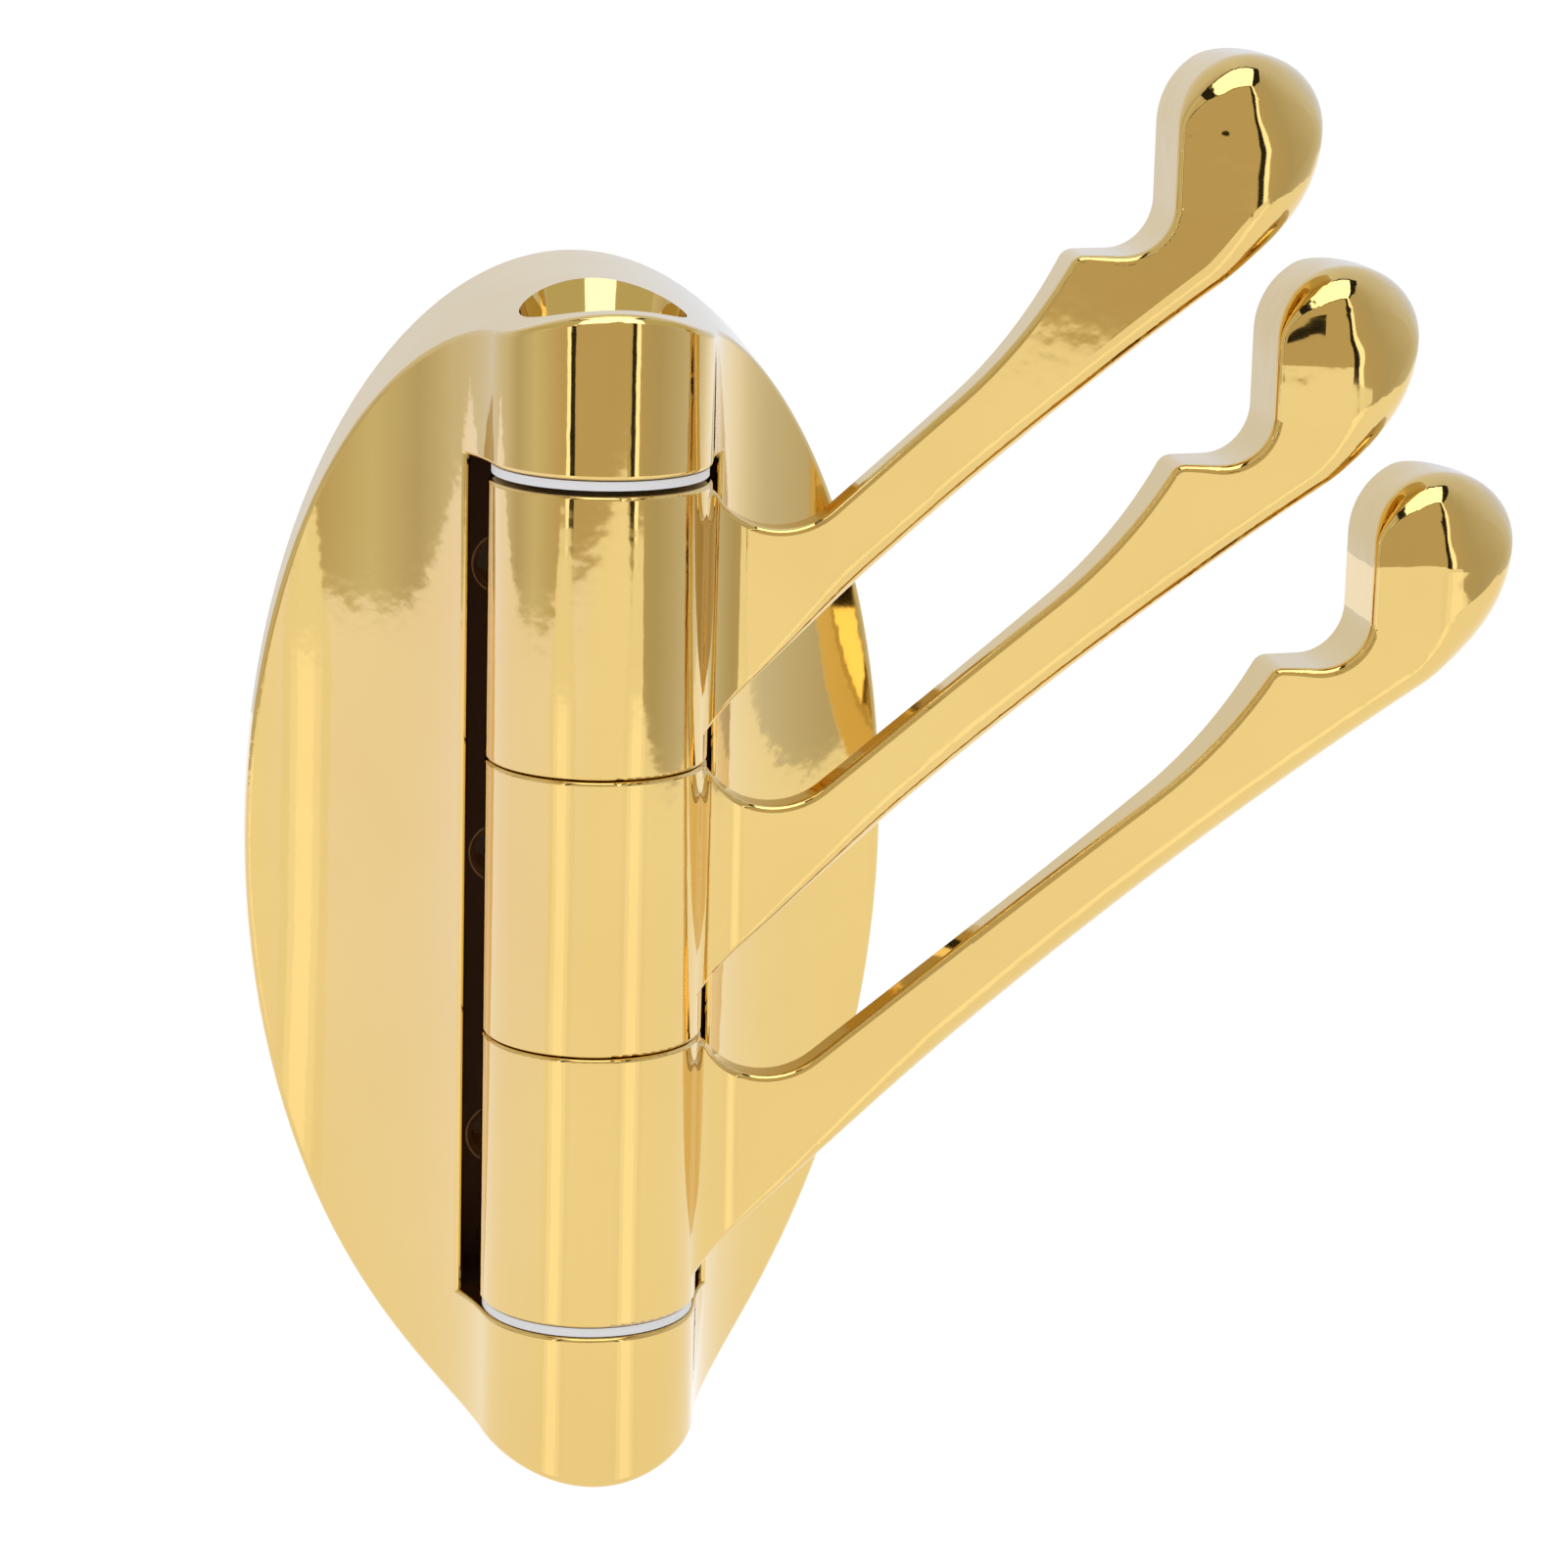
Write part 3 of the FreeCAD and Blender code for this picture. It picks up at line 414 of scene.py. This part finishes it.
paper, tree, shader = new_finish("floor_paper")
feed(tree, PAPER_WHITE, shader.inputs["Base Color"])
feed(tree, PAPER_ROUGHNESS, shader.inputs["Roughness"])
feed(tree, 0.0, shader.inputs["Specular IOR Level"])
to_the_left = along(tree, "X", DAYLIGHT_FROM, DAYLIGHT_FULL)
feed(tree, colour_by(tree, to_the_left, PLAIN_WHITE, DAYLIGHT), shader.inputs["Emission Color"])
shine = blend_by(tree, seen_by_eye_and_mirrors(tree), 0.0, PAPER_SHINE)
feed(tree, shine, shader.inputs["Emission Strength"])
flat_piece("floor", level_corners(Vector((0.0, 0.0, FLOOR_LEVEL)), (FLOOR_HALF, FLOOR_HALF)), paper)

world = bpy.data.worlds.new("white_studio")
world.use_nodes = True
scene.world = world
tree = world.node_tree
background = tree.nodes["Background"]
feed(tree, PLAIN_WHITE, background.inputs["Color"])
strength = blend_by(tree, seen_by_eye_and_mirrors(tree), WORLD_AS_LIGHT, WORLD_AS_SEEN)
feed(tree, strength, background.inputs["Strength"])
scene.view_settings.view_transform = "Standard"
print("floor below the hook by", *in_mm([cad_box[0][2] - FLOOR_LEVEL]), "mm")

# %% [markdown]
# ## Soft lamps
# One large lamp above on the left draws the shadow, a second one on the right fills it. They are wide for
# their distance, so the shadow is soft, and weak, because the white world already gives most of the light.

# %% Place the lamps
LAMP_WIDTH = 0.8
LAMPS = {"key_lamp": ((-0.7, -0.8, 1.1), 2.0), "fill_lamp": ((0.9, -0.7, 0.7), 1.0)}


def soft_lamp(name, place, power):
    """A square area lamp that looks at the hook and shows in no mirror."""
    light = bpy.data.lights.new(name, "AREA")
    light.size = LAMP_WIDTH
    light.energy = power
    lamp = bpy.data.objects.new(name, light)
    lamp.location = place
    lamp.rotation_euler = (-Vector(place)).to_track_quat("-Z", "Y").to_euler()
    lamp.visible_glossy = False
    scene.collection.objects.link(lamp)


for name, (place, power) in LAMPS.items():
    soft_lamp(name, place, power)
print("lamps:", ", ".join(LAMPS))

# %% [markdown]
# ## The tones of the room
# A polished object is lit by what it reflects, so a photographer dresses the room around it. Ours is warm
# and dim in front of the hook, and pale and cool at its sides and behind it. Many lamps could do that. One
# glowing material is simpler: its colour ramp runs round the room by the bearing, counted from straight in
# front towards the right. Behind on the right the white paper curls up, and its edge is soft.

# %% Colour the room
ROOM_TONES = {-180: (0.80, 0.82, 0.86), -118: (0.73, 0.72, 0.73), -98: (0.59, 0.56, 0.52),
              -75: (0.73, 0.73, 0.67), -45: (0.61, 0.53, 0.39), 20: (0.61, 0.53, 0.38),
              50: (0.54, 0.50, 0.43), 97: (0.70, 0.72, 0.80), 180: (0.80, 0.82, 0.86)}
CURL_FROM, CURL_FULL, CURL_HEIGHT = math.radians(100.0), math.radians(125.0), 0.15


def glow(name, colour=PLAIN_WHITE, strength=1.0):
    """A glowing material whose colour may be a red, green and blue, or is linked later."""
    material = bpy.data.materials.new(name)
    material.use_nodes = True
    tree = material.node_tree
    tree.nodes.clear()
    light = add_node(tree, "ShaderNodeEmission", name="light", Strength=strength)
    out = add_node(tree, "ShaderNodeOutputMaterial")
    feed(tree, colour, light.inputs["Color"])
    feed(tree, light.outputs[0], out.inputs[0])
    return material


def tones_by_bearing(tree, bearing):
    """The room's tone at a bearing in radians."""
    share = add_node(tree, "ShaderNodeMapRange", From_Min=-math.pi, From_Max=math.pi)
    ramp = add_node(tree, "ShaderNodeValToRGB")
    feed(tree, bearing, share.inputs["Value"])
    feed(tree, share.outputs["Result"], ramp.inputs["Fac"])
    stops = ramp.color_ramp.elements
    while len(stops) < len(ROOM_TONES):
        stops.new(0.5)
    for stop, (degrees, tone) in zip(stops, ROOM_TONES.items()):
        stop.position = (degrees + 180.0) / 360.0
        stop.color = (*tone, 1.0)
    return ramp.outputs["Color"]


room = glow("room")
tree = room.node_tree
position = add_node(tree, "ShaderNodeNewGeometry").outputs["Position"]
split = add_node(tree, "ShaderNodeSeparateXYZ")
feed(tree, position, split.inputs["Vector"])
forward = combine(tree, "MULTIPLY", split.outputs["Y"], -1.0)
bearing = combine(tree, "ARCTAN2", split.outputs["X"], forward)
low_down = add_node(tree, "ShaderNodeMapRange", interpolation_type="SMOOTHSTEP", From_Min=FLOOR_LEVEL,
                    From_Max=FLOOR_LEVEL + CURL_HEIGHT, To_Min=1.0, To_Max=0.0)
to_the_right = add_node(tree, "ShaderNodeMapRange", From_Min=CURL_FROM, From_Max=CURL_FULL)
feed(tree, split.outputs["Z"], low_down.inputs["Value"])
feed(tree, bearing, to_the_right.inputs["Value"])
curl = combine(tree, "MULTIPLY", low_down.outputs["Result"], to_the_right.outputs["Result"])
walls = colour_by(tree, curl, tones_by_bearing(tree, bearing), PLAIN_WHITE)
feed(tree, walls, tree.nodes["light"].inputs["Color"])
print("room tones:", len(ROOM_TONES))

# %% [markdown]
# ## The walls of the room
# Below the hook lies the white paper. Where it ends, the room begins, and it is darker: that makes the
# upper part of the hook deeper in tone than the lower part. The edge of the paper is a line of listed
# points, because it decides where the tones change. The walls and the ceiling are cards that only mirrors
# can see. They cast no shadow and stay out of the picture from every side.

# %% Stand the room at the edge of the paper
ROOM_TOP = 0.70
PAPER_EDGE = [(-0.70, 0.60), (-0.61, -0.17), (-0.45, -0.54), (-0.125, -0.72), (0.10, -0.80), (0.26, -0.81),
              (0.29, -0.60), (0.43, -0.22), (0.60, 0.60)]
CEILING_MIDDLE, CEILING_HALF = Vector((-0.05, -0.15, ROOM_TOP)), (0.65, 0.75)


def mirror_card(name, corners, material):
    """A card that only reflections show."""
    card = flat_piece(name, corners, material)
    for kind in ("camera", "diffuse", "transmission", "volume_scatter", "shadow"):
        setattr(card, "visible_" + kind, False)


def raised(places, height):
    """Places on the ground plan, lifted to a height."""
    return [(*place, height) for place in places]


def standing_card(name, left, right, bottom, top, material):
    """An upright card between two places on the ground plan."""
    mirror_card(name, raised((left, right), bottom) + raised((right, left), top), material)


for number, (left, right) in enumerate(zip(PAPER_EDGE, PAPER_EDGE[1:] + PAPER_EDGE[:1])):
    standing_card(f"room_{number}", left, right, FLOOR_LEVEL, ROOM_TOP, room)
mirror_card("ceiling", level_corners(CEILING_MIDDLE, CEILING_HALF), room)
print("room cards:", len(PAPER_EDGE), "and a ceiling")

# %% [markdown]
# ## Streaks on the barrels
# A barrel squeezes the whole room into a narrow picture, so a wide light becomes a fine streak that runs
# down it. Two strips on the paper, left and right of the camera, draw the pair of streaks on the knuckles
# and the one near the left rim. Each strip is three cards on top of each other, the narrowest the
# brightest, which softens its edges. Where the strips meet the room, a dark post and a bright gap stand
# on: they are the thin lines on the top lug. Bearings in degrees from the bolt say where all this stands.

# %% Lay the strips and stand the posts
STRIP_BEARINGS = {"left": -42.5, "right": 34.0}
STRIP_LAYERS = ((14.0, 1.06), (9.0, 1.16), (5.0, 1.28))
STRIP_NEAR, STRIP_FAR, LAYER_STEP, UPSTAND_TAPER = 0.08, 0.56, 0.001, 0.35
POST_EDGES = {"left": (-34.1, -39.1, -42.6), "right": (22.6, 27.1, 31.1)}
POST_DISTANCE, POST_FOOT, GAP_STRENGTH = 0.55, -0.066, 1.5
CARD_BLACK = (0.02, 0.018, 0.015)

bolt_low, bolt_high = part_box("pivot_bolt")
pivot = (bolt_low + bolt_high) / 2
black = glow("black_card", CARD_BLACK)
bright_gap = glow("bright_gap", strength=GAP_STRENGTH)
strip_whites = {half: glow(f"strip_{half}", strength=strength) for half, strength in STRIP_LAYERS}


def around(degrees, distance):
    """The place at a bearing from the bolt, counted from straight in front towards the right."""
    angle = math.radians(degrees)
    return (pivot.x + distance * math.sin(angle), pivot.y - distance * math.cos(angle))


def strip_layer(side, layer, half, white):
    """One card of a strip on the paper, and its narrowing end that stands up to the post's foot."""
    lift = LAYER_STEP * layer
    middle = STRIP_BEARINGS[side]
    near, far = [[around(middle + turn, distance - lift) for turn in (-half, half)]
                 for distance in (STRIP_NEAR, STRIP_FAR)]
    top = [around(middle + turn * UPSTAND_TAPER, STRIP_FAR - lift) for turn in (half, -half)]
    mirror_card(f"{side}_strip_{layer}", raised(near + far[::-1], FLOOR_LEVEL + lift), white)
    mirror_card(f"{side}_upstand_{layer}", raised(far, FLOOR_LEVEL) + raised(top, POST_FOOT), white)


for side, edges in POST_EDGES.items():
    for layer, (half, white) in enumerate(strip_whites.items(), start=1):
        strip_layer(side, layer, half, white)
    start, middle, end = [around(edge, POST_DISTANCE) for edge in edges]
    standing_card(side + "_post", start, middle, POST_FOOT, ROOM_TOP, black)
    standing_card(side + "_gap", middle, end, POST_FOOT, ROOM_TOP, bright_gap)
print("strips at bearings", STRIP_BEARINGS)

# %% [markdown]
# ## Light on the finger tips
# The round tips look up and forward. They show a large soft box overhead, in its dark frame, and a small
# dark spot, which is the camera. Both are cards too: a level one inside a larger black one, and a black
# oval beside the lens.

# %% Hang the soft box
BOX_PLACE, BOX_HALF, FRAME_HALF = Vector((0.02, -0.27, 0.60)), (0.25, 0.24), (0.36, 0.27)
BOX_BELOW_FRAME, BOX_STRENGTH = Vector((0.0, 0.0, -0.005)), 2.2
SPOT_ASIDE, SPOT_UP, SPOT_HALF_WIDTH, SPOT_HALF_HEIGHT = 0.025, 0.007, 0.026, 0.014
DISC_STEP = 15


def disc(middle, right, up):
    """Points round a disc with two half axes."""
    turns = [math.radians(degrees) for degrees in range(0, 360, DISC_STEP)]
    return [middle + math.cos(turn) * right + math.sin(turn) * up for turn in turns]


box_light = glow("soft_box", strength=BOX_STRENGTH)
mirror_card("soft_box_frame", level_corners(BOX_PLACE, FRAME_HALF), black)
mirror_card("soft_box", level_corners(BOX_PLACE + BOX_BELOW_FRAME, BOX_HALF), box_light)
spot_place = CAMERA_PLACE + SPOT_ASIDE * picture_right + SPOT_UP * picture_up
spot_edge = disc(spot_place, SPOT_HALF_WIDTH * picture_right, SPOT_HALF_HEIGHT * picture_up)
mirror_card("lens_spot", spot_edge, black)
print("soft box of", in_mm(2 * half for half in BOX_HALF), "mm")

# %% [markdown]
# ## Light in the open bore
# The open bore in the top lug mirrors what stands around its mouth. A ring of low cards, bright in the
# middle and dim at both sides, gives it the bright patch of the photograph. The ring could be one curved
# sheet, but short flat cards follow it well enough and need no more helpers.

# %% Ring the bore with cards
BORE_RING, BORE_RING_FOOT, BORE_RING_TOP, RING_STEP = 0.016, 0.0545, 0.0630, 11
BORE_DIM, BORE_BRIGHT = (0.60, 0.58, 0.44), (2.2, 2.3, 2.8)
BORE_CARDS = {"bore_left": (-95, -27, BORE_DIM), "bore_middle": (-27, 24, BORE_BRIGHT),
              "bore_right": (24, 93, BORE_DIM)}

for name, (start, end, tone) in BORE_CARDS.items():
    bore_glow = glow(name, tone)
    count = round((end - start) / RING_STEP)
    edges = [around(start + (end - start) * step / count, BORE_RING) for step in range(count + 1)]
    for number, (left, right) in enumerate(zip(edges, edges[1:])):
        standing_card(f"{name}_{number}", left, right, BORE_RING_FOOT, BORE_RING_TOP, bore_glow)
    print(name, "cards:", count)

# %% [markdown]
# ## Behind the screw holes
# On a wall no daylight comes through the screw holes, so each has a small dark disc behind it: painted
# shade for the wall, which belongs to the studio and not to the hook.

# %% Close the screw holes
STOP_RADIUS, STOP_BEHIND, STOP_SHADE = 0.0032, 0.0004, (0.02, 0.012, 0.007)

# Near-black glowing discs: painted shade behind the screw holes.
wall_shade = glow("wall_shade", STOP_SHADE)
for number, order in enumerate((-1, 0, 1), start=1):
    middle = Vector((SCREW_X, STOP_BEHIND, order * SCREW_SPACING))
    stop_edge = disc(middle, Vector((STOP_RADIUS, 0.0, 0.0)), Vector((0.0, 0.0, STOP_RADIUS)))
    flat_piece(f"painted_shade_disc_{number}", stop_edge, wall_shade)
print("stops behind the holes:", number)

# %% [markdown]
# ## Print the sizes and finish
# Nothing here may change the object's size, so we write down the box of the solids and the box of what is
# shown.

# %% Write the sizes
shown_box = [list(corner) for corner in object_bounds()]
print("shown box in mm:", [in_mm(corner) for corner in shown_box])
